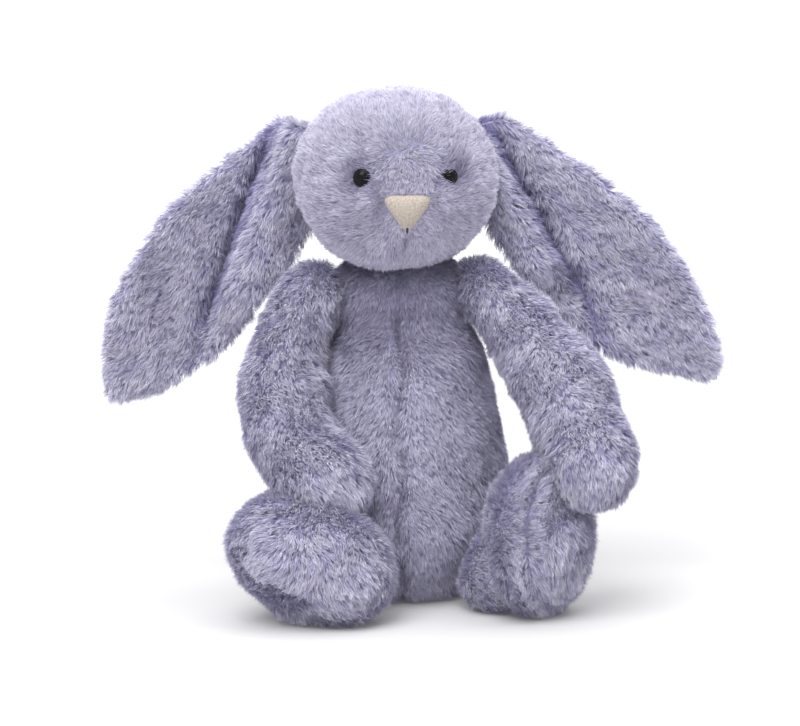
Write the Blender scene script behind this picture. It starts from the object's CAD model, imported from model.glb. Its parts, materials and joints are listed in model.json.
"""A sitting plush rabbit with long drooping ears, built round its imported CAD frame.

Every stuffed part is a soft closed skin with a real pile of short tapered strands standing on it.
"""

import json
import math

import bmesh
import bpy
import numpy as np
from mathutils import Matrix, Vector


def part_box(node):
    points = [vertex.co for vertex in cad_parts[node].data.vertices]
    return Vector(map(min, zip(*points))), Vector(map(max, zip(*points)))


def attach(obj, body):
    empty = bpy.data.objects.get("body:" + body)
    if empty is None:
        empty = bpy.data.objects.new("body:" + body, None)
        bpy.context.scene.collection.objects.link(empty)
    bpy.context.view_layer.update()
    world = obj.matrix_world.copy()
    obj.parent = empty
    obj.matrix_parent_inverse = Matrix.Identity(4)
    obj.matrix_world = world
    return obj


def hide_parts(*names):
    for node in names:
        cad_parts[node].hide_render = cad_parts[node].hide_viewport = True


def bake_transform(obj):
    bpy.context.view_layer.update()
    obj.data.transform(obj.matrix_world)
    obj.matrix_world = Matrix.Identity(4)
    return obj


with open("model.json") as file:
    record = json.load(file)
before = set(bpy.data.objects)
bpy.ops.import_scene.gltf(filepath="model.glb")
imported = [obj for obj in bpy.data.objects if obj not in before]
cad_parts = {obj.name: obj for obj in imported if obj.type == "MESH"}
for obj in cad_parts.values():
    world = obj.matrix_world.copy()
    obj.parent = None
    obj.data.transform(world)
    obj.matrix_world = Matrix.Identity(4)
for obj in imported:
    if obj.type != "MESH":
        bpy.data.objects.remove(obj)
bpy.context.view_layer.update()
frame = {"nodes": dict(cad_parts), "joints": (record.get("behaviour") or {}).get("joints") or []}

MM = 0.001
SIDES = {"left": 1, "right": -1}
UP = np.array([0.0, 0.0, 1.0])
FRONT = np.array([0.0, -1.0, 0.0])
SIDEWAYS = np.array([1.0, 0.0, 0.0])


# ---------------------------------------------------------------- measuring the frame


def corners(*nodes):
    """Every corner point of these CAD nodes."""
    return np.array([v.co for n in nodes for v in frame["nodes"][n].data.vertices])


def box_of(*nodes):
    """Lowest and highest corner round these CAD nodes."""
    boxes = [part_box(n) for n in nodes]
    low = np.min([b[0] for b in boxes], axis=0)
    high = np.max([b[1] for b in boxes], axis=0)
    return low, high


def middle(*nodes):
    """The middle of the box round these CAD nodes."""
    low, high = box_of(*nodes)
    return (low + high) / 2


def pivot(joint):
    """The point that a joint turns about."""
    return next(np.array(j["pos_m"]) for j in frame["joints"] if j["name"] == joint)


def farthest(node, start):
    """The point of a CAD node that is farthest from a start point."""
    points = corners(node)
    return points[np.argmax(np.linalg.norm(points - start, axis=1))]


def long_way(node):
    """The direction in which a CAD node is longest."""
    points = corners(node)
    return np.linalg.svd(points - points.mean(0), full_matrices=False)[2][0]


# ---------------------------------------------------------------- shapes


def unit(vectors):
    """The same directions, each one long."""
    return vectors / np.linalg.norm(vectors, axis=-1, keepdims=True)


def rise(low, high, value):
    """0 up to low, 1 from high on, and a soft slope between them."""
    share = np.clip((value - low) / (high - low), 0, 1)
    return share * share * (3 - 2 * share)


def mound(distance, reach):
    """1 at a mound's middle, sinking softly to nothing past its reach."""
    return np.exp(-((distance / reach) ** 2))


def unevenness(points, wavelength, seed):
    """A smooth, repeatable unevenness of roughly -1 to 1 over space."""
    chance = np.random.default_rng(seed)
    waves = 14
    total = np.zeros(len(points))
    for _ in range(waves):
        way = unit(chance.normal(size=3)) * chance.uniform(0.7, 1.4)
        total += np.cos(points @ way * (math.tau / wavelength) + chance.uniform(0, math.tau))
    return total / math.sqrt(waves)


def skin_through(name, rings):
    """A closed skin through rings of points, drawn together at its two ends."""
    rows, around = rings.shape[:2]
    points = np.concatenate([rings.reshape(-1, 3), rings[0].mean(0)[None], rings[-1].mean(0)[None]])
    here = np.arange(rows * around).reshape(rows, around)
    beside = np.roll(here, -1, axis=1)
    walls = np.stack([here[:-1], beside[:-1], beside[1:], here[1:]], -1).reshape(-1, 4).tolist()
    first_end = [[rows * around, b, a] for a, b in zip(here[0].tolist(), beside[0].tolist())]
    last_end = [[rows * around + 1, a, b] for a, b in zip(here[-1].tolist(), beside[-1].tolist())]
    mesh = bpy.data.meshes.new(name)
    mesh.from_pydata(points.tolist(), [], walls + first_end + last_end)
    shell = bmesh.new()
    shell.from_mesh(mesh)
    bmesh.ops.recalc_face_normals(shell, faces=shell.faces)
    shell.to_mesh(mesh)
    shell.free()
    mesh.polygons.foreach_set("use_smooth", np.ones(len(mesh.polygons), bool))
    skin = bpy.data.objects.new(name, mesh)
    bpy.context.scene.collection.objects.link(skin)
    return skin


def points_of(skin):
    """The corner points of a skin as one array."""
    points = np.empty(len(skin.data.vertices) * 3, np.float32)
    skin.data.vertices.foreach_get("co", points)
    return points.reshape(-1, 3).astype(float)


def normals_of(skin):
    """The outward direction at every corner point of a skin."""
    normals = np.empty(len(skin.data.vertices) * 3, np.float32)
    skin.data.vertex_normals.foreach_get("vector", normals)
    return normals.reshape(-1, 3).astype(float)


def push(skin, amount):
    """Moves every corner point of a skin outwards by its own amount."""
    points = points_of(skin) + normals_of(skin) * amount[:, None]
    skin.data.vertices.foreach_set("co", points.ravel())
    skin.data.update()


def turned_rows(count):
    """Angles from one pole to the other that leave the poles themselves out."""
    step = math.pi / count
    return np.linspace(step / 2, math.pi - step / 2, count)


def egg(name, centre, long_axis, wide_axis, halves, rows=90, around=120):
    """An egg about a centre: half sizes along its long, wide and thin ways."""
    thin_axis = np.cross(long_axis, wide_axis)
    down = turned_rows(rows)[:, None, None]
    round_about = np.linspace(0, math.tau, around, endpoint=False)[None, :, None]
    rings = (
        centre
        + np.cos(down) * halves[0] * long_axis
        + np.sin(down) * np.cos(round_about) * halves[1] * wide_axis
        + np.sin(down) * np.sin(round_about) * halves[2] * thin_axis
    )
    return skin_through(name, rings)


def bend(start, through, end, shares):
    """Points and directions on a smooth bend from start to end through a middle point."""
    pull = 2 * through - (start + end) / 2
    s = shares[:, None]
    points = (1 - s) ** 2 * start + 2 * s * (1 - s) * pull + s**2 * end
    ways = unit(2 * (1 - s) * (pull - start) + 2 * s * (end - pull))
    return points, ways


def sausage(name, start, through, end, start_radius, end_radius, rows=110, around=80, full_at=1.0):
    """A round-ended tube along a bend that has its end radius from a share of its length on."""
    length = np.linalg.norm(through - start) + np.linalg.norm(end - through)
    turn = turned_rows(rows)
    shares = (1 - np.cos(turn)) / 2
    points, ways = bend(start, through, end, shares)
    radius = start_radius + (end_radius - start_radius) * np.clip(shares / full_at, 0, 1)
    from_end = np.minimum(shares * length / start_radius, (1 - shares) * length / end_radius)
    radius = radius * np.sqrt(1 - (1 - np.clip(from_end, 0, 1)) ** 2)
    sideways = unit(np.cross(ways, FRONT))
    other = np.cross(ways, sideways)
    round_about = np.linspace(0, math.tau, around, endpoint=False)[None, :, None]
    rings = points[:, None] + radius[:, None, None] * (
        np.cos(round_about) * sideways[:, None] + np.sin(round_about) * other[:, None]
    )
    return skin_through(name, rings)


# ---------------------------------------------------------------- materials


class Value:
    """A shader value that is added, multiplied and so on like a number."""

    def __init__(self, finish, socket):
        self.finish = finish
        self.socket = socket

    def combine(self, operation, first, second):
        return self.finish.node("ShaderNodeMath", {"operation": operation}, {0: first, 1: second})

    def __add__(self, other):
        return self.combine("ADD", self, other)

    __radd__ = __add__

    def __sub__(self, other):
        return self.combine("SUBTRACT", self, other)

    def __rsub__(self, other):
        return self.combine("SUBTRACT", other, self)

    def __mul__(self, other):
        return self.combine("MULTIPLY", self, other)

    __rmul__ = __mul__

    def __pow__(self, other):
        return self.combine("POWER", self, other)


class Finish:
    """A material with one main shader, and short ways to add nodes in front of it."""

    def __init__(self, name, **uniform):
        self.material = bpy.data.materials.new(name)
        self.material.use_nodes = True
        self.tree = self.material.node_tree
        self.shader = self.tree.nodes["Principled BSDF"]
        for socket, value in uniform.items():
            self.shader.inputs[socket.replace("_", " ")].default_value = value

    def fill(self, socket, value):
        if isinstance(value, Value):
            self.tree.links.new(value.socket, socket)
        else:
            socket.default_value = value

    def node(self, kind, settings, inputs, output=0):
        made = self.tree.nodes.new(kind)
        for setting, value in settings.items():
            setattr(made, setting, value)
        for socket, value in inputs.items():
            self.fill(made.inputs[socket], value)
        return Value(self, made.outputs[output])

    def set(self, socket, value):
        self.fill(self.shader.inputs[socket], value)

    def mix(self, share, first, second):
        """A colour between two others. The colour sockets of a Mix node are its sixth to eighth."""
        return self.node("ShaderNodeMix", {"data_type": "RGBA"}, {0: share, 6: first, 7: second}, 2)

    def grain(self, size, detail=3.0, roughness=0.6):
        """Fine unevenness in space, with spots about as large as size."""
        place = self.node("ShaderNodeTexCoord", {}, {}, "Object")
        return self.node(
            "ShaderNodeTexNoise",
            {},
            {"Vector": place, "Scale": 1 / size, "Detail": detail, "Roughness": roughness},
        )

    def bump(self, height, depth):
        """Lets a height show as fine relief of a given depth."""
        made = self.node(
            "ShaderNodeBump", {}, {"Strength": 1.0, "Distance": depth, "Height": height}
        )
        self.set("Normal", made)


def pile_finish(name, root, dark_tip, tip):
    """Colour of pile strands: deeper at the root, paler at the tip, each strand with its own shade."""
    finish = Finish(name, Roughness=0.7, Specular_IOR_Level=0.2, Sheen_Weight=0.2, Sheen_Roughness=0.5)
    chart = finish.node("ShaderNodeUVMap", {"uv_map": "OFBake"}, {})
    shade = finish.node("ShaderNodeSeparateXYZ", {}, {0: chart}, 0)
    along = finish.node("ShaderNodeSeparateXYZ", {}, {0: chart}, 1)
    end = finish.mix(shade, dark_tip, tip)
    finish.set("Base Color", finish.mix(along ** 0.6, root, end))
    return finish.material


def backing_finish(name, deep, light):
    """The knitted backing that the pile stands on."""
    finish = Finish(name, Roughness=0.9)
    weave = finish.grain(0.9 * MM)
    finish.set("Base Color", finish.mix(weave, deep, light))
    finish.bump(weave, 0.2 * MM)
    return finish.material


def colour(red, green, blue):
    """A colour from screen values of 0 to 255."""
    return tuple((c / 255) ** 2.2 for c in (red, green, blue)) + (1.0,)


LIMB_PILE = pile_finish("limb_pile", colour(154, 150, 192), colour(132, 127, 176), colour(253, 251, 255))
BODY_PILE = pile_finish("body_pile", colour(146, 142, 171), colour(130, 126, 155), colour(226, 224, 245))
HEAD_PILE = pile_finish("head_pile", colour(160, 157, 184), colour(138, 134, 165), colour(236, 233, 248))
BACKING = backing_finish("backing", colour(150, 147, 176), colour(168, 165, 195))


def eye_finish():
    """Black moulded plastic with a high polish."""
    finish = Finish("eye_gloss", Specular_IOR_Level=0.1)
    cloud = finish.grain(1.5 * MM)
    finish.set("Base Color", finish.mix(cloud, (0.004, 0.004, 0.005, 1), (0.012, 0.01, 0.011, 1)))
    finish.set("Roughness", cloud * 0.06 + 0.06)
    return finish.material


def velour_finish():
    """Short cream velour with a fine nap."""
    finish = Finish("nose_velour", Roughness=0.85, Sheen_Weight=0.4, Sheen_Roughness=0.4)
    nap = finish.grain(0.8 * MM, 4.0, 0.7)
    finish.set("Base Color", finish.mix(nap, colour(104, 94, 84), colour(226, 214, 202)))
    finish.bump(nap, 0.35 * MM)
    return finish.material


def thread_finish():
    """Dark twisted sewing thread."""
    finish = Finish("dark_thread", Roughness=0.7)
    twist = finish.grain(0.3 * MM)
    finish.set("Base Color", finish.mix(twist, colour(38, 34, 48), colour(66, 60, 80)))
    finish.bump(twist, 0.1 * MM)
    return finish.material


def satin_finish():
    """Plain white satin ribbon."""
    finish = Finish("label_satin", Roughness=0.4, Sheen_Weight=0.2)
    weave = finish.grain(0.4 * MM)
    finish.set("Base Color", finish.mix(weave, colour(232, 230, 226), colour(246, 245, 242)))
    finish.bump(weave, 0.05 * MM)
    return finish.material


# ---------------------------------------------------------------- pile

PIECE_STRANDS = 60000
STRANDS_PER_TUFT = 6
TUFTS_PER_SQUARE_MM = 1.3
TUFT_RADIUS = 0.85 * MM
TIP_GATHER = 0.2
STRAND_HALF_WIDTHS_MM = (0.08, 0.15)
STRAND_BOW = 0.14
ROOT_DEPTH_MM = 0.3
FLOOR_GAP = 0.3 * MM
MIDDLE_SHADE = 0.55
SHADE_LIMITS = (0.02, 0.98)


def scatter(skin, per_square_mm, chance):
    """Evenly scattered points on a skin with the outward direction at each."""
    mesh = skin.data
    mesh.calc_loop_triangles()
    index = np.empty(len(mesh.loop_triangles) * 3, np.int32)
    mesh.loop_triangles.foreach_get("vertices", index)
    index = index.reshape(-1, 3)
    points = points_of(skin)[index]
    normals = normals_of(skin)[index]
    area = np.linalg.norm(
        np.cross(points[:, 1] - points[:, 0], points[:, 2] - points[:, 0]), axis=1
    ) / 2
    count = int(area.sum() / MM**2 * per_square_mm)
    chosen = chance.choice(len(index), count, p=area / area.sum())
    share = chance.random((count, 2))
    flip = share.sum(1) > 1
    share[flip] = 1 - share[flip]
    weights = np.stack([1 - share.sum(1), share[:, 0], share[:, 1]], 1)[:, :, None]
    return (points[chosen] * weights).sum(1), unit((normals[chosen] * weights).sum(1))


def strand_mesh(name, roots, middles, tips, across, shade, material):
    """One mesh of flat strands, each a four-sided lower part and a pointed upper part."""
    count = len(roots)
    points = np.stack(
        [roots - across, roots + across, middles + across * 0.8, middles - across * 0.8, tips], 1
    )
    first = np.arange(count)[:, None] * 5
    loops = (first + np.array([0, 1, 2, 3, 3, 2, 4])).ravel()
    starts = (np.arange(count)[:, None] * 7 + np.array([0, 4])).ravel()
    mesh = bpy.data.meshes.new(name)
    mesh.vertices.add(count * 5)
    mesh.loops.add(count * 7)
    mesh.polygons.add(count * 2)
    mesh.vertices.foreach_set("co", points.ravel())
    mesh.loops.foreach_set("vertex_index", loops)
    mesh.polygons.foreach_set("loop_start", starts)
    mesh.polygons.foreach_set("use_smooth", np.ones(count * 2, bool))
    mesh.update(calc_edges=True)
    along = np.tile(np.array([0, 0, 0.5, 0.5, 0.5, 0.5, 1.0]), count)
    chart = np.stack([np.repeat(shade, 7), along], 1)
    mesh.uv_layers.new(name="OFBake").data.foreach_set("uv", chart.ravel())
    mesh.materials.append(material)
    piece = bpy.data.objects.new(name, mesh)
    bpy.context.scene.collection.objects.link(piece)
    return piece


def follow(piece, body, root):
    """Ties a piece to a body, or lets it bend from the head to that body between two points."""
    if root is None:
        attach(piece, body)
    else:
        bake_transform(piece)


def comb(roots, normals, lay, chance, seed):
    """The way each tuft leans along the skin and the way beside it, with a gentle swirl."""
    way = lay(roots)
    swirl = 0.3 * unevenness(roots, 22 * MM, seed + 1) + 0.22 * unevenness(roots, 6 * MM, seed + 2)
    swirl += chance.normal(0, 0.14, len(roots))
    side = unit(np.cross(normals, way))
    ahead = np.cross(side, normals)
    ahead = ahead * np.cos(swirl)[:, None] + side * np.sin(swirl)[:, None]
    return ahead, np.cross(normals, ahead)


def grow(
    skin, name, body, lay, length, material, seed,
    keep=None, tufts=TUFTS_PER_SQUARE_MM, lean=0.95, tone=None, root=None,
):
    """Covers a skin with tufts of pile that lie along lay(points), in several named pieces.

    length, keep and tone give the pile's length, the share of it that stands and its change of
    shade at points. lean is how far it lies down, in radians. root is where it bends, as in follow.
    """
    chance = np.random.default_rng(seed)
    roots, normals = scatter(skin, tufts, chance)
    if keep is not None:
        kept = chance.random(len(roots)) < keep(roots)
        roots, normals = roots[kept], normals[kept]
    upwards = np.argsort(roots[:, 2])
    roots, normals = roots[upwards], normals[upwards]
    count = len(roots)
    ahead, side = comb(roots, normals, lay, chance, seed)
    tilt = lean + 0.09 * unevenness(roots, 6 * MM, seed + 3) + chance.normal(0, 0.08, count)
    stretch = 1 + 0.12 * unevenness(roots, 9 * MM, seed + 4) + chance.normal(0, 0.08, count)
    tall = length(roots) * stretch
    tuft_shade = MIDDLE_SHADE + 0.07 * unevenness(roots, 12 * MM, seed + 5) + chance.normal(0, 0.11, count)
    if tone is not None:
        tuft_shade = tuft_shade + tone(roots)

    def each(values):
        """A tuft's values, once for each of its strands."""
        return np.repeat(values, STRANDS_PER_TUFT, axis=0)

    total = count * STRANDS_PER_TUFT
    angle = chance.uniform(0, math.tau, total)
    off = TUFT_RADIUS * np.sqrt(chance.random(total))
    spread = each(ahead) * (np.cos(angle) * off)[:, None] + each(side) * (np.sin(angle) * off)[:, None]
    tilts = each(tilt) + chance.normal(0, 0.12, total)
    turn = chance.normal(0, 0.16, total)
    way_out = each(ahead) * np.cos(turn)[:, None] + each(side) * np.sin(turn)[:, None]
    growth = each(normals) * np.cos(tilts)[:, None] + way_out * np.sin(tilts)[:, None]
    reach = each(tall) * chance.uniform(0.75, 1.1, total)
    base = each(roots) + spread - each(normals) * ROOT_DEPTH_MM * MM
    tips = base - spread * TIP_GATHER + growth * reach[:, None]
    middles = base + (tips - base) * 0.5 + each(normals) * (STRAND_BOW * reach)[:, None]
    roll = chance.normal(0, 0.6, total)
    across = each(side) * np.cos(roll)[:, None] + each(normals) * np.sin(roll)[:, None]
    across = across * (chance.uniform(*STRAND_HALF_WIDTHS_MM, total) * MM)[:, None]
    for points in (base, middles, tips):
        points[:, 2] = np.maximum(points[:, 2], FLOOR_GAP)
    shade = np.clip(each(tuft_shade) + chance.normal(0, 0.17, total), *SHADE_LIMITS)
    parts = math.ceil(total / PIECE_STRANDS)
    for number, rows in enumerate(np.array_split(np.arange(total), parts), 1):
        piece = strand_mesh(
            f"{name}_{number}", base[rows], middles[rows], tips[rows], across[rows], shade[rows], material
        )
        follow(piece, body, root)


def even(length):
    """The same pile length everywhere."""
    return lambda points: np.full(len(points), length)


def above(height):
    """Pile only above a height, so that none is squashed under the toy."""
    return lambda points: (points[:, 2] > height).astype(float)


def soft(skin, body, slot, fill, *nodes, root=None):
    """Declares a stuffed skin: what it rides on, its finish, how full it is and what it stands for."""
    skin.data.materials.append(BACKING)
    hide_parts(*nodes)
    follow(skin, body, root)


# ---------------------------------------------------------------- head

HEAD_NODES = ("head_gusset", "face_panel_left", "face_panel_right")
HEAD_LOW, HEAD_HIGH = box_of(*HEAD_NODES)
HEAD_MIDDLE = (HEAD_LOW + HEAD_HIGH) / 2
HEAD_HALF = (HEAD_HIGH - HEAD_LOW) / 2
NOSE = middle("nose_patch")
NOSE_LOW, NOSE_HIGH = box_of("nose_patch")
FACE_TURN = math.atan2(NOSE[0] - HEAD_MIDDLE[0], HEAD_MIDDLE[1] - NOSE[1])
FACE_WAY = np.array([math.sin(FACE_TURN), -math.cos(FACE_TURN), 0.0])
FACE_SIDE = np.array([math.cos(FACE_TURN), math.sin(FACE_TURN), 0.0])
EYES = {side: farthest(f"eye_{side}", HEAD_MIDDLE) for side in SIDES}
EYE_RADIUS = (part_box("eye_left")[1][2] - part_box("eye_left")[0][2]) / 2
PILE_THICKNESS = 2.0 * MM
WHORL_HEIGHT = 15 * MM
NOSE_HEIGHT = NOSE[2] - HEAD_MIDDLE[2]
INWARD, OUTWARD = -1, 1
LID_LIFTS = {
    "left": {INWARD: 0.1 * MM, OUTWARD: 1.2 * MM},
    "right": {INWARD: 1.9 * MM, OUTWARD: 3.4 * MM},
}
GUSSET_LOW, GUSSET_HIGH = box_of("head_gusset")
STRIP_SHARE = 0.78
GUSSET_HALF = (GUSSET_HIGH[0] - GUSSET_LOW[0]) / 2 * STRIP_SHARE


def on_face(points):
    """How far points lie beside the middle of the face, above the head's middle and to the front."""
    away = points - HEAD_MIDDLE
    return away @ FACE_SIDE, away[:, 2], away @ FACE_WAY


def off_gusset(points):
    """How far outside the head's middle strip points lie: the strip narrows towards the nose."""
    beside, height, _ = on_face(points)
    widening = rise(-12 * MM, 26 * MM, height)
    return np.abs(beside) - GUSSET_HALF * (0.62 + 0.5 * widening)


def from_eyes(points):
    """How far points lie from the nearer eye."""
    return np.min([np.linalg.norm(points - eye, axis=1) for eye in EYES.values()], axis=0)


def cheek_ridges(points):
    """Soft ridges that run back over the cheeks, roughly level with the floor."""
    _, height, forward = on_face(points)
    waver = 0.9 * unevenness(points * np.array([0.5, 0.5, 1.0]), 16 * MM, 12)
    ridges = np.sin(height / (0.85 * MM) + waver * 3)
    return ridges * rise(3 * MM, 12 * MM, off_gusset(points)) * rise(-10 * MM, 15 * MM, forward)


def shape_muzzle(amount, points):
    """Raises the muzzle, cheeks, lips and chin, and draws in the crease under the nose."""
    beside, height, forward = on_face(points)
    front = rise(0, 20 * MM, forward)
    muzzle = mound(np.hypot(beside, (height - NOSE_HEIGHT + 3 * MM) * 1.1), 16 * MM)
    amount += 3.4 * MM * muzzle * front
    for sign in SIDES.values():
        cheek = mound(np.hypot(beside - sign * 25 * MM, height + 15 * MM), 16 * MM)
        amount += 2.6 * MM * cheek * front
        lip = mound(np.hypot(beside - sign * 7.5 * MM, height - NOSE_HEIGHT + 12 * MM), 6 * MM)
        amount += 1.6 * MM * lip * front
    below_nose = NOSE_HEIGHT - height
    mouth = mound(beside, 2.0 * MM) * rise(6 * MM, 10 * MM, below_nose)
    mouth *= 1 - rise(11 * MM, 18 * MM, below_nose)
    amount -= 2.0 * MM * mouth * front
    amount += 1.8 * MM * rise(18 * MM, 30 * MM, -height)


def shape_outer_corners(amount, points):
    """Draws in a crease beyond the outer corner of each eye."""
    for side, eye in EYES.items():
        outer = points - eye - FACE_SIDE * SIDES[side] * 6 * MM + UP * 1.5 * MM
        amount -= 1.6 * MM * mound(np.linalg.norm(outer * np.array([0.55, 1, 1.7]), axis=1), 4.5 * MM)


def shape_strip(amount, points):
    """Raises a soft ridge outside each seam of the middle strip and sinks the seam itself."""
    _, height, forward = on_face(points)
    edge = off_gusset(points)
    strip = rise(-24 * MM, -8 * MM, height) * rise(-6 * MM, 12 * MM, forward)
    amount += 1.1 * MM * mound(edge - 2.6 * MM, 3.0 * MM) * strip
    amount -= 0.8 * MM * mound(edge, 1.8 * MM) * strip


def shape_sockets(amount, points):
    """Sinks the eye sockets and raises the lids beside them and a rim round them."""
    _, _, forward = on_face(points)
    front = rise(0, 20 * MM, forward)
    amount -= 2.0 * MM * mound(from_eyes(points), 6.5 * MM)
    for side, eye in EYES.items():
        for outward, lift in LID_LIFTS[side].items():
            lid = eye + FACE_SIDE * SIDES[side] * outward * 5 * MM
            amount += lift * mound(np.linalg.norm(points - lid, axis=1), 3.5 * MM)
    amount += 1.3 * MM * mound(from_eyes(points) - 10 * MM, 4 * MM) * front


def make_head():
    """The round head, shaped by how far each point of its skin moves out."""
    halves = HEAD_HALF[[2, 0, 1]] - PILE_THICKNESS * np.array([0.4, 0.8, 0.4])
    skin = egg("head_skin", HEAD_MIDDLE, UP, FACE_SIDE, halves, 140, 200)
    points = points_of(skin)
    amount = 0.8 * MM * unevenness(points, 45 * MM, 11)
    shape_muzzle(amount, points)
    shape_outer_corners(amount, points)
    shape_strip(amount, points)
    shape_sockets(amount, points)
    amount += 0.2 * MM * cheek_ridges(points)
    push(skin, amount)
    washers = ("eye_washer_left", "eye_washer_right")
    soft(skin, "head", "face_plush", 0.85, *HEAD_NODES, "head_stuffing", *washers)
    return skin


def face_tone(points):
    """The pile looks deeper round the eyes, along the strip's seams and in the middle of the brow."""
    beside, height, forward = on_face(points)
    front = rise(0, 12 * MM, forward)
    tone = -0.7 * mound(from_eyes(points), 6.0 * MM)
    for sign, eye in zip(SIDES.values(), EYES.values()):
        outer = eye + FACE_SIDE * sign * 7 * MM
        tone -= 0.6 * mound(np.linalg.norm((points - outer) * np.array([0.6, 1, 1.6]), axis=1), 5 * MM)
    tone -= 0.15 * mound(off_gusset(points), 1.8 * MM) * front * rise(-20 * MM, -4 * MM, height)
    tone -= 0.16 * mound(np.hypot(beside, height - 15 * MM), 11 * MM) * front
    below_nose = NOSE_HEIGHT - height
    crease = rise(6 * MM, 9 * MM, below_nose) * (1 - rise(12 * MM, 18 * MM, below_nose))
    tone -= 0.4 * mound(beside, 1.6 * MM) * front * crease
    return tone + 0.12 * rise(5 * MM, 30 * MM, height) + 0.06 * cheek_ridges(points)


def front_of(skin, beside, height, out):
    """The point of a skin straight behind a place on the face, moved out to the front."""
    start = Vector(HEAD_MIDDLE + FACE_SIDE * beside + UP * height + FACE_WAY * 0.1)
    _, place, _, _ = skin.ray_cast(start, Vector(-FACE_WAY))
    return np.array(place) + FACE_WAY * out


NOSE_PROFILE = (
    (0.5, -1.0),
    (0.96, -0.6),
    (1.0, 0.5),
    (0.97, 1.1),
    (0.88, 1.7),
    (0.7, 2.2),
    (0.45, 2.5),
    (0.2, 2.6),
)
NOSE_GROWTH = 1.2
NOSE_WIDENING = 1.15
NOSE_SHARPNESS = 3.0


def make_nose(head_skin):
    """A padded rounded triangle of velour that follows the muzzle.

    Its profile is a share of the outline and how far out, in millimetres, the velour stands there.
    """
    half = (NOSE_HIGH - NOSE_LOW) / 2
    turn = np.linspace(0, math.tau, 60, endpoint=False)
    slope = math.atan2(half[0], 2 * half[2])
    sides = ((math.pi / 2, half[2] * 0.9), (-slope, half[2] * 0.68), (math.pi + slope, half[2] * 0.68))
    pull = sum((np.maximum(np.cos(turn - way), 0) / reach) ** NOSE_SHARPNESS for way, reach in sides)
    edge = pull ** (-1 / NOSE_SHARPNESS)
    edge *= NOSE_GROWTH
    rings = []
    for share, out in NOSE_PROFILE:
        ring = [
            front_of(
                head_skin,
                NOSE_WIDENING * r * share * math.cos(t),
                NOSE_HEIGHT + r * share * math.sin(t),
                out * MM,
            )
            for r, t in zip(edge, turn)
        ]
        rings.append(ring)
    nose = skin_through("nose", np.array(rings))
    nose.data.materials.append(velour_finish())
    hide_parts("nose_patch")
    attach(nose, "head")


def make_mouth(head_skin):
    """One short stitch of dark thread that pulls the muzzle in under the nose."""
    top = NOSE_LOW[2] - HEAD_MIDDLE[2]
    low = top - (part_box("mouth_stitch")[1][2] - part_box("mouth_stitch")[0][2]) * 0.5
    ends = [front_of(head_skin, 0.0, height, 1.5 * MM) for height in (top, (top + low) / 2, low)]
    stitch = sausage("mouth_stitch_thread", *ends, 0.5 * MM, 0.3 * MM, 24, 16)
    stitch.data.materials.append(thread_finish())
    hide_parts("mouth_stitch")
    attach(stitch, "head")


def finish_eyes():
    """The CAD eyes keep their shape and take a black polish."""
    gloss = eye_finish()
    for side in SIDES:
        mesh = frame["nodes"][f"eye_{side}"].data
        for number in range(len(mesh.materials)):
            mesh.materials[number] = gloss


def face_lay(points):
    """Pile sweeps away from the nose, out from the whorl on the brow and over the eyes from both sides."""
    whorl = HEAD_MIDDLE + UP * WHORL_HEIGHT + FACE_WAY * HEAD_HALF[1]
    _, height, forward = on_face(points)
    strip = rise(2 * MM, -3 * MM, off_gusset(points)) * rise(-6 * MM, 0, height)
    strip *= rise(0, 15 * MM, forward)
    way = unit(points - NOSE - FACE_WAY * 6 * MM)
    stray = 3 * MM * unevenness(points, 9 * MM, 61)[:, None] * FACE_SIDE
    stray = stray + 3 * MM * unevenness(points, 9 * MM, 62)[:, None] * UP
    way = unit(way * (1 - strip[:, None]) + unit(points + stray - whorl) * strip[:, None])
    for eye in EYES.values():
        off = points - eye
        near = mound(np.linalg.norm(off, axis=1), 6 * MM)[:, None]
        over_eye = unit(off[:, 2:] * UP - (off @ FACE_SIDE)[:, None] * FACE_SIDE)
        way = way * (1 - near) + over_eye * near
    return unit(way)


def face_length(points):
    """Short pile round the nose, on the brow and on the crown, longer on the cheeks and the back."""
    from_nose = np.linalg.norm(points - NOSE, axis=1)
    beside, height, forward = on_face(points)
    brow = mound(np.hypot(beside, height - 15 * MM), 14 * MM) * rise(0, 12 * MM, forward)
    near = rise(6 * MM, 24 * MM, from_nose)
    crown = rise(10 * MM, 34 * MM, height)
    return (2.4 + 1.9 * near - 0.9 * brow - 0.8 * crown) * MM


def face_keep(points):
    """No pile under the nose or through the eyes."""
    away = points - NOSE
    half = (NOSE_HIGH - NOSE_LOW) / 2
    front = (away @ FACE_WAY) > -12 * MM
    narrowing = (away[:, 2] + half[2]) / (2 * half[2])
    within_sides = np.abs(away @ FACE_SIDE) < half[0] * (0.1 + 0.75 * narrowing)
    on_nose = front & within_sides & (np.abs(away[:, 2]) < half[2] * 0.85)
    return (~on_nose & (from_eyes(points) > EYE_RADIUS * 0.7)).astype(float)


# ---------------------------------------------------------------- body

BODY_LOW, BODY_HIGH = box_of("belly_panel_left", "belly_panel_right", "back_panel")


def body_radius(height):
    """How far the CAD body reaches from its middle line at a height."""
    panel = frame["nodes"]["belly_panel_left"]
    start = Vector((BODY_HIGH[0] * 2, BODY_LOW[1] * 2, height))
    hit, place, _, _ = panel.ray_cast(start, Vector((-1, 1, 0)).normalized())
    return math.hypot(place.x, place.y) if hit else 0.0


NECK_HALF = 28 * MM


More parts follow.
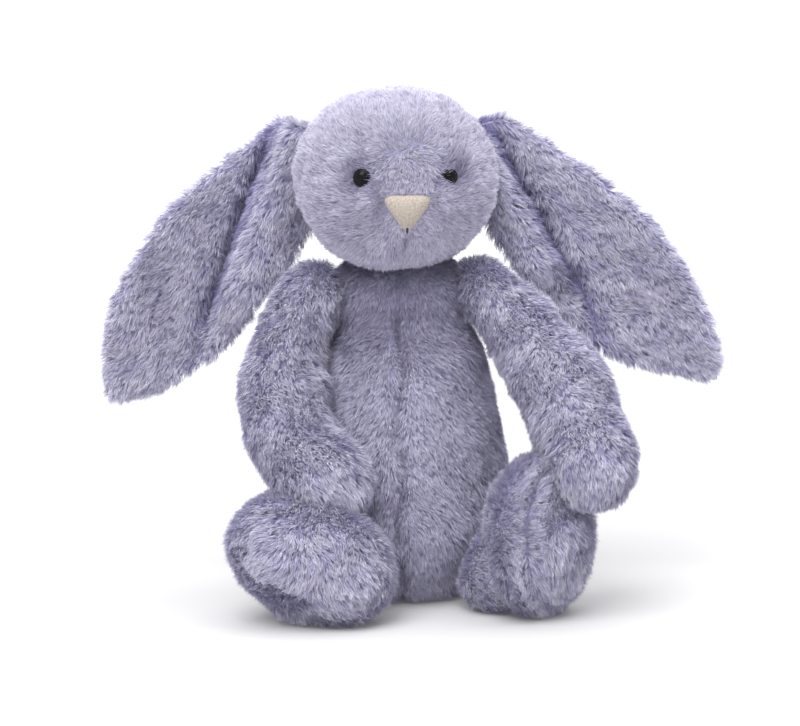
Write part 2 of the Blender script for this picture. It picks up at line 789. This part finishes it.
def make_body():
    """The pear-shaped body with its front seam, drawn in to the neck at the top."""
    rows = 120
    tall = BODY_HIGH[2] - BODY_LOW[2]
    heights = BODY_LOW[2] + tall * (0.012 + 0.976 * np.linspace(0, 1, rows))
    radius = np.array([body_radius(h) for h in heights]) - PILE_THICKNESS * 0.4
    collar = rise(tall * 0.78, tall * 0.93, heights)
    radius = radius + collar * (NECK_HALF - 1 * MM - radius)
    around = np.linspace(0, math.tau, 200, endpoint=False)
    rings = np.stack(
        [
            radius[:, None] * np.sin(around),
            -radius[:, None] * np.cos(around),
            np.repeat(heights[:, None], len(around), axis=1),
        ],
        -1,
    )
    lid = rings[-1:] * np.array([0.9, 0.9, 1.0]) + np.array([0, 0, 1.5 * MM])
    base = rings[:1] * np.array([0.9, 0.9, 1.0]) - np.array([0, 0, 1 * MM])
    skin = skin_through("body_skin", np.concatenate([base, rings, lid]))
    points = points_of(skin)
    amount = 0.9 * MM * unevenness(points, 40 * MM, 21) * rise(2 * MM, 20 * MM, points[:, 2])
    amount -= 2.2 * MM * mound(front_seam(points), 2.2 * MM) * (points[:, 1] < 0)
    push(skin, amount)
    soft(
        skin, "body", "body_plush", 0.8,
        "belly_panel_left", "belly_panel_right", "back_panel", "seat_panel",
        "body_stuffing", "seat_bean_bag",
    )
    return skin


def front_seam(points):
    """How far beside the body's wavering front seam points lie."""
    return points[:, 0] - 1.3 * MM * np.sin(points[:, 2] / (7 * MM))


def body_tone(points):
    """The pile opens along the front seam, here more and there less, and looks deeper near the neck."""
    opening = 0.5 + 0.25 * unevenness(points, 12 * MM, 22)
    seam = opening * mound(front_seam(points), 1.7 * MM) * (points[:, 1] < 0)
    return 0.05 - seam - 0.4 * rise(BODY_HIGH[2] * 0.65, BODY_HIGH[2] * 0.95, points[:, 2])


def body_lay(points):
    """Pile falls down the body and parts at the seam in front."""
    parting = np.tanh(points[:, 0] / (9 * MM))
    way = np.stack([0.45 * parting, np.zeros(len(points)), -np.ones(len(points))], 1)
    return unit(way)


def make_neck():
    """The gathered plush between the body and the head."""
    low, _ = box_of("neck_stuffing")
    centre = np.array([0.0, 0.0, low[2] - 4 * MM])
    halves = np.array([17 * MM, NECK_HALF, NECK_HALF])
    skin = egg("neck_skin", centre, UP, SIDEWAYS, halves, 60, 90)
    soft(skin, "neck", "body_plush", 0.7, "neck_stuffing")
    return skin


LABEL_STEPS = 40
LABEL_FOLD = (0.44, 0.56)
LABEL_GAP = 0.35 * MM


def make_label():
    """A blank satin ribbon folded into the back seam."""
    low, high = box_of("care_label")
    start = np.array([high[0], low[1], 0.0])
    end = np.array([low[0], high[1], 0.0])
    out = unit(end - start)
    side = np.cross(UP, out)
    bottom, top = low[2], high[2]
    reach = np.linalg.norm(end - start)
    loop = []
    for step in range(LABEL_STEPS + 1):
        share = step / LABEL_STEPS
        turn = math.pi * rise(*LABEL_FOLD, share)
        along = reach * (1 - abs(2 * share - 1)) - 0.4 * MM
        wave = 0.5 * MM * math.sin(along / reach * math.pi * 1.5)
        loop.append(start + out * along + side * (LABEL_GAP * math.cos(turn) + wave))
    points = [spot + UP * height for height in (bottom, top) for spot in loop]
    count = len(loop)
    faces = [(n, n + 1, count + n + 1, count + n) for n in range(count - 1)]
    mesh = bpy.data.meshes.new("care_label_ribbon")
    mesh.from_pydata([tuple(p) for p in points], [], faces)
    mesh.polygons.foreach_set("use_smooth", np.ones(len(mesh.polygons), bool))
    mesh.materials.append(satin_finish())
    ribbon = bpy.data.objects.new("care_label_ribbon", mesh)
    bpy.context.scene.collection.objects.link(ribbon)
    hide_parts("care_label")
    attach(ribbon, "body")


# ---------------------------------------------------------------- ears

# A share of the ear's length, and how far the edge lies from the middle line there, in millimetres.
EAR_UPPER_EDGE = (
    (0, 7), (0.08, 11), (0.2, 16), (0.4, 21.5), (0.52, 23),
    (0.66, 21), (0.8, 17), (0.9, 12), (0.97, 6), (1, 1),
)
EAR_LOWER_EDGE = (
    (0, 10), (0.1, 20), (0.23, 28), (0.35, 30), (0.5, 29),
    (0.64, 28), (0.73, 26), (0.85, 18), (0.95, 8), (1, 1),
)
EDGE_SAMPLES = 400
EDGE_ROUNDING = 20
EAR_HALF_WIDTH = 25.5 * MM
EAR_THICKNESS = 4.5 * MM
EAR_GROWTH = 2.5 * MM
EAR_TUCK = 0.12
EAR_CUP_MM = 4.5
EAR_CREASE_MM = 7.0
EAR_FLAP_MM = 13.0
EAR_CREASE_WIDTH = 0.16
# Where across the ear its fold starts, how fast that moves along the ear, and where along it ends.
EAR_FOLDS = {"left": (0.0, 1.3, 0.46), "right": (0.45, 1.5, 0.57)}
EAR_SWAY = {"left": 0.0, "right": 3.5 * MM}


def smooth_through(table, shares):
    """Smoothly joined values of a short table at these shares."""
    at = np.array([row[0] for row in table])
    value = np.array([row[1] for row in table])
    fine = np.linspace(0, 1, EDGE_SAMPLES)
    kernel = np.hanning(2 * EDGE_ROUNDING + 1)
    padded = np.interp(np.linspace(-0.05, 1.05, EDGE_SAMPLES + len(kernel)), at, value)
    rounded = np.convolve(padded, kernel / kernel.sum(), "same")[EDGE_ROUNDING : -EDGE_ROUNDING - 1]
    return np.interp(shares, fine, rounded)


class Ear:
    """One ear's own ways: along it, across it to its upper edge, and out to the front."""

    def __init__(self, side):
        self.side = side
        self.root = pivot(f"ear_lift_{side}")
        tip = farthest(f"ear_back_{side}", self.root)
        tip[1] = self.root[1]
        self.length = np.linalg.norm(tip - self.root)
        self.along = (tip - self.root) / self.length
        self.across = np.cross(self.along, FRONT) * -SIDES[side]
        if self.across[2] < 0:
            self.across = -self.across
        self.length += EAR_GROWTH
        self.bend = (self.root - self.along * 3 * MM, self.root + self.along * 9 * MM)
        inner = HEAD_MIDDLE + (self.root - HEAD_MIDDLE) * np.array([0.45, 0.6, 0.7])
        self.tuck = inner - self.root
        self.fold_start, self.fold_slope, self.fold_end = EAR_FOLDS[side]

    def share(self, points):
        """How far along the ear points are, and how far across it, as shares."""
        away = points - self.root
        return away @ self.along / self.length, away @ self.across / EAR_HALF_WIDTH

    def surface(self, t, a):
        """Height of the ear's middle layer above its flat pattern."""
        valley = self.valley(t)
        folded = 1 - rise(self.fold_end - 0.1, self.fold_end + 0.05, t)
        crease = mound(a - valley, EAR_CREASE_WIDTH) * (1 - rise(self.fold_end, self.fold_end + 0.25, t))
        flap = rise(0.0, 0.3, valley - a) * (1 - 0.4 * rise(0.45, 1.1, valley - a))
        cup = EAR_CUP_MM * a**2 * rise(0.1, 0.5, t)
        return MM * (cup - EAR_CREASE_MM * crease + EAR_FLAP_MM * folded * flap)

    def valley(self, t):
        """Where across the ear its lower edge starts to fold to the front."""
        return self.fold_start - self.fold_slope * t

    def lay(self, points):
        """Pile runs to the tip and a little out to both edges."""
        _, across = self.share(points)
        return unit(self.along + across[:, None] * 0.35 * self.across)

    def tone(self, points):
        """The pile looks deeper in the fold."""
        t, across = self.share(points)
        from_valley = across - self.valley(np.clip(t, 0, 1))
        fold = mound(from_valley, EAR_CREASE_WIDTH) * (1 - rise(self.fold_end, 0.8, t))
        return -0.75 * fold


def make_ear(ear):
    """A thin ear folded to the front at its lower edge, with its root tucked into the head."""
    rows, around = 150, 96
    t = (1 - np.cos(turned_rows(rows))) / 2 * (1 + EAR_TUCK) - EAR_TUCK
    tucked = np.clip(-t / EAR_TUCK, 0, 1)
    t = np.clip(t, 0, 1)
    upper = smooth_through(EAR_UPPER_EDGE, t) * MM
    lower = smooth_through(EAR_LOWER_EDGE, t) * MM
    width = (upper + lower) / 2
    centre = (upper - lower) / 2 + EAR_SWAY[ear.side] * np.sin(math.pi * t)
    round_about = np.linspace(0, math.tau, around, endpoint=False)
    a = np.cos(round_about)
    thick = np.sign(np.sin(round_about)) * np.abs(np.sin(round_about)) ** 0.7 * EAR_THICKNESS / 2
    across = centre[:, None] + width[:, None] * a[None]
    height = ear.surface(t[:, None], across / EAR_HALF_WIDTH) + thick[None] * np.sqrt(
        np.clip(width[:, None] / (8 * MM), 0, 1)
    )
    rings = (
        ear.root
        + (t[:, None] * ear.length)[..., None] * ear.along
        + tucked[:, None, None] * ear.tuck
        + across[..., None] * ear.across
        + height[..., None] * FRONT
    )
    skin = skin_through(f"ear_{ear.side}_skin", rings)
    push(skin, 0.5 * MM * unevenness(points_of(skin), 25 * MM, 31))
    panels = (f"ear_front_{ear.side}", f"ear_back_{ear.side}")
    soft(skin, f"ear_{ear.side}", "ear_plush", 0.15, *panels, root=ear.bend)
    return skin


# ---------------------------------------------------------------- arms and legs


SHOULDER_INWARD = {"left": 15 * MM, "right": 12 * MM}
ELBOW_INWARD = {"left": 3 * MM, "right": 0.0}
PAW_INWARD = {"left": 13 * MM, "right": 1 * MM}
PAW_GIRTH = {"left": 1.22, "right": 1.12}
SHOULDER_GIRTH = 0.62
ELBOW_SHARE = 0.52
FOOT_SEAM_DEPTH = {"left": 1.8 * MM, "right": 0.5 * MM}
LEG_GIRTH = 1.35


def make_arm(side):
    """A bent arm that widens from the shoulder to the paw, with its start inside the body."""
    node = f"arm_cover_{side}"
    shoulder = pivot(f"arm_swing_{side}")
    paw = farthest(node, shoulder)
    points = corners(node)
    reach = np.linalg.norm(points - shoulder, axis=1)
    half = reach.max() * ELBOW_SHARE
    elbow_ring = points[np.abs(reach - half) < 4 * MM]
    elbow = elbow_ring.mean(0)
    way = unit(paw - shoulder)
    off = elbow_ring - elbow
    radius = np.linalg.norm(off - (off @ way)[:, None] * way, axis=1).max()
    outward = np.array([SIDES[side], 0.0, 0.0])
    start = shoulder - outward * SHOULDER_INWARD[side] + UP * 12 * MM
    elbow = elbow - outward * ELBOW_INWARD[side]
    paw = paw - outward * PAW_INWARD[side] - UP * 4 * MM
    radii = (radius * SHOULDER_GIRTH, radius * PAW_GIRTH[side])
    skin = sausage(f"arm_{side}_skin", start, elbow, paw, *radii, full_at=0.45)
    points = points_of(skin)
    amount = 0.8 * MM * unevenness(points, 26 * MM, 41)
    inside = elbow - outward * radius - UP * radius * 0.4
    amount -= 1.8 * MM * mound(np.linalg.norm(points - inside, axis=1), 7 * MM)
    push(skin, amount)
    soft(skin, f"arm_{side}", "limb_plush", 0.75, node, f"arm_stuffing_{side}")

    def lay(spots):
        share = np.clip(np.linalg.norm(spots - shoulder, axis=1) / reach.max(), 0, 1)
        _, ways = bend(shoulder, elbow, paw, share)
        return unit(ways + unit(spots - shoulder) * 0.2 - UP * 0.25)

    return skin, lay


def rest_on_floor(skin, height):
    """Flattens what would sink below a height, as resting on the floor does."""
    points = points_of(skin)
    points[:, 2] = np.maximum(points[:, 2], height)
    skin.data.vertices.foreach_set("co", points.ravel())
    skin.data.update()


def make_foot(side):
    """A stuffed foot with its sole to the front and a seam round the sole."""
    cover, sole = f"foot_cover_{side}", f"sole_panel_{side}"
    centre = middle(cover)
    facing = middle(sole) - centre
    facing[2] = 0
    facing = unit(facing)
    long_axis = long_way(sole)
    long_axis = unit(long_axis - (long_axis @ facing) * facing)
    wide_axis = np.cross(facing, long_axis)
    points = corners(cover, sole) - centre
    halves = [np.abs(points @ axis).max() - PILE_THICKNESS * 0.5 for axis in (long_axis, wide_axis, facing)]
    skin = egg(f"foot_{side}_skin", centre, long_axis, wide_axis, np.array(halves), 100, 130)
    points = points_of(skin)
    amount = 0.8 * MM * unevenness(points, 28 * MM, 51)
    seam = (points - centre) @ facing - halves[2] * 0.45
    amount -= FOOT_SEAM_DEPTH[side] * mound(seam, 2.0 * MM)
    push(skin, amount)
    rest_on_floor(skin, 0.6 * MM)
    fillings = (f"foot_stuffing_{side}", f"foot_bean_bag_{side}")
    soft(skin, f"leg_{side}", "limb_plush", 0.8, cover, sole, *fillings)
    hip = pivot(f"leg_swing_{side}")
    from_hip = (centre - hip) / np.linalg.norm(centre - hip)

    def lay(spots):
        return unit(unit(spots - centre) + facing * 0.05 + from_hip * 0.6 - UP * 0.3)

    return skin, lay, centre


def make_leg(side, foot_centre):
    """The short leg between the body and the foot."""
    hip = pivot(f"leg_swing_{side}")
    low, high = box_of(f"leg_cover_{side}")
    radius = (high[2] - low[2]) / 2 * LEG_GIRTH
    start = hip * np.array([0.72, 1.0, 1.0])
    start[2] = radius + 1.5 * MM
    through = (start + foot_centre) / 2
    through[2] = radius + 2 * MM
    skin = sausage(f"leg_{side}_skin", start, through, foot_centre, radius, radius * 1.1, 60, 60)
    rest_on_floor(skin, 0.8 * MM)
    soft(skin, f"leg_{side}", "limb_plush", 0.75, f"leg_cover_{side}", f"leg_stuffing_{side}")

    def lay(spots):
        return unit(np.tile(foot_centre - hip, (len(spots), 1)) - UP * 0.01)

    return skin, lay


def make_tail():
    """A round tail."""
    low, high = box_of("tail_cover")
    centre = (low + high) / 2
    halves = np.full(3, (high[2] - low[2]) / 2) - PILE_THICKNESS
    skin = egg("tail_skin", centre, UP, SIDEWAYS, halves, 60, 80)
    soft(skin, "body", "tail_plush", 0.7, "tail_cover", "tail_stuffing")
    return skin, centre


# ---------------------------------------------------------------- build

LIMB_PILE_LENGTH = 5.2 * MM
LIMB_LEAN = 0.74
BARE_BELOW = 1.5 * MM


def build_head():
    """The head with its pile, nose, mouth and eyes."""
    head = make_head()
    grow(
        head, "head_pile", "head", face_lay, face_length, HEAD_PILE, 100,
        keep=face_keep, tufts=1.9, tone=face_tone,
    )
    make_nose(head)
    make_mouth(head)
    finish_eyes()


def build_body():
    """The body with its pile and label, and the neck."""
    body = make_body()
    grow(
        body, "body_pile", "body", body_lay, even(4.2 * MM), BODY_PILE, 200,
        keep=above(2 * MM), tone=body_tone, lean=0.85,
    )
    make_label()
    neck = make_neck()
    grow(neck, "neck_pile", "neck", body_lay, even(4.0 * MM), BODY_PILE, 250, tone=body_tone)


def build_ear(side, seed):
    """One ear with its pile."""
    ear = Ear(side)
    grow(
        make_ear(ear), f"ear_{side}_pile", f"ear_{side}",
        ear.lay, even(LIMB_PILE_LENGTH), LIMB_PILE, seed,
        tone=ear.tone, lean=LIMB_LEAN, root=ear.bend,
    )


def build_arm(side, seed):
    """One arm with its pile."""
    arm, lay = make_arm(side)
    grow(
        arm, f"arm_{side}_pile", f"arm_{side}",
        lay, even(LIMB_PILE_LENGTH), LIMB_PILE, seed, lean=LIMB_LEAN,
    )


def build_leg(side, foot_seed, leg_seed):
    """One leg and foot with their pile."""
    foot, foot_lay, foot_centre = make_foot(side)
    grow(
        foot, f"foot_{side}_pile", f"leg_{side}",
        foot_lay, even(LIMB_PILE_LENGTH), LIMB_PILE, foot_seed, lean=LIMB_LEAN, keep=above(BARE_BELOW),
    )
    leg, leg_lay = make_leg(side, foot_centre)
    grow(
        leg, f"leg_{side}_pile", f"leg_{side}",
        leg_lay, even(4.6 * MM), LIMB_PILE, leg_seed, keep=above(BARE_BELOW),
    )


def build_tail():
    """The tail, with pile that fans out from its middle."""
    tail, centre = make_tail()
    grow(
        tail, "tail_pile", "body",
        lambda points: unit(points - centre + UP * 5 * MM), even(5.0 * MM), LIMB_PILE, 700, lean=0.7,
    )


build_head()
build_body()
for number, side in enumerate(SIDES):
    build_ear(side, 300 + number * 10)
    build_arm(side, 400 + number * 10)
    build_leg(side, 500 + number * 10, 600 + number * 10)
build_tail()


# ---------------------------------------------------------------- floor, light and camera


FLOOR_REACH = 40.0
CAMERA_AWAY = 1.35
CAMERA_RISE = math.radians(9)
SENSOR_WIDTH = 36
VIEW_WIDTH_IN_HEIGHTS = 1.578
AIM_IN_HEIGHTS = 0.453


def make_floor():
    """A plain pale floor that runs on past the view."""
    near, far = -FLOOR_REACH, FLOOR_REACH
    mesh = bpy.data.meshes.new("floor")
    mesh.from_pydata([(near, near, 0), (far, near, 0), (far, far, 0), (near, far, 0)], [], [(0, 1, 2, 3)])
    floor = bpy.data.objects.new("floor", mesh)
    bpy.context.scene.collection.objects.link(floor)
    finish = Finish("floor_white", Roughness=0.9, Base_Color=(0.55, 0.55, 0.56, 1))
    finish.shader.inputs["Emission Color"].default_value = (1, 1, 1, 1)
    finish.shader.inputs["Emission Strength"].default_value = 0.06
    mesh.materials.append(finish.material)


def aim(thing, place, target):
    """Puts a light or camera at a place and turns it to a target."""
    thing.location = place
    thing.rotation_euler = (Vector(target) - Vector(place)).to_track_quat("-Z", "Y").to_euler()


def make_sun(name, place, spread, strength):
    """Soft light from one side of the sky, spread over an angle in degrees."""
    data = bpy.data.lights.new(name, "SUN")
    data.angle = math.radians(spread)
    data.energy = strength
    light = bpy.data.objects.new(name, data)
    bpy.context.scene.collection.objects.link(light)
    aim(light, place, (0, 0, 0))


def make_camera():
    """A long lens a little above the toy and in front of it."""
    height = HEAD_HIGH[2]
    target = Vector((0, 0, AIM_IN_HEIGHTS * height))
    place = target + Vector((0, -math.cos(CAMERA_RISE), math.sin(CAMERA_RISE))) * CAMERA_AWAY
    data = bpy.data.cameras.new("camera")
    data.sensor_width = SENSOR_WIDTH
    data.lens = SENSOR_WIDTH * CAMERA_AWAY / (VIEW_WIDTH_IN_HEIGHTS * height)
    camera = bpy.data.objects.new("camera", data)
    bpy.context.scene.collection.objects.link(camera)
    aim(camera, place, target)
    bpy.context.scene.camera = camera


def make_surroundings():
    """Even white light from all round."""
    world = bpy.data.worlds.new("studio")
    world.use_nodes = True
    world.node_tree.nodes["Background"].inputs["Color"].default_value = (1, 1, 1, 1)
    world.node_tree.nodes["Background"].inputs["Strength"].default_value = 0.72
    bpy.context.scene.world = world
    bpy.context.scene.view_settings.view_transform = "Standard"


make_floor()
make_surroundings()
make_sun("key", (-0.4, -0.75, 1.2), 40, 2.4)
make_sun("top", (0.15, 0.1, 1.0), 60, 2.3)
make_camera()
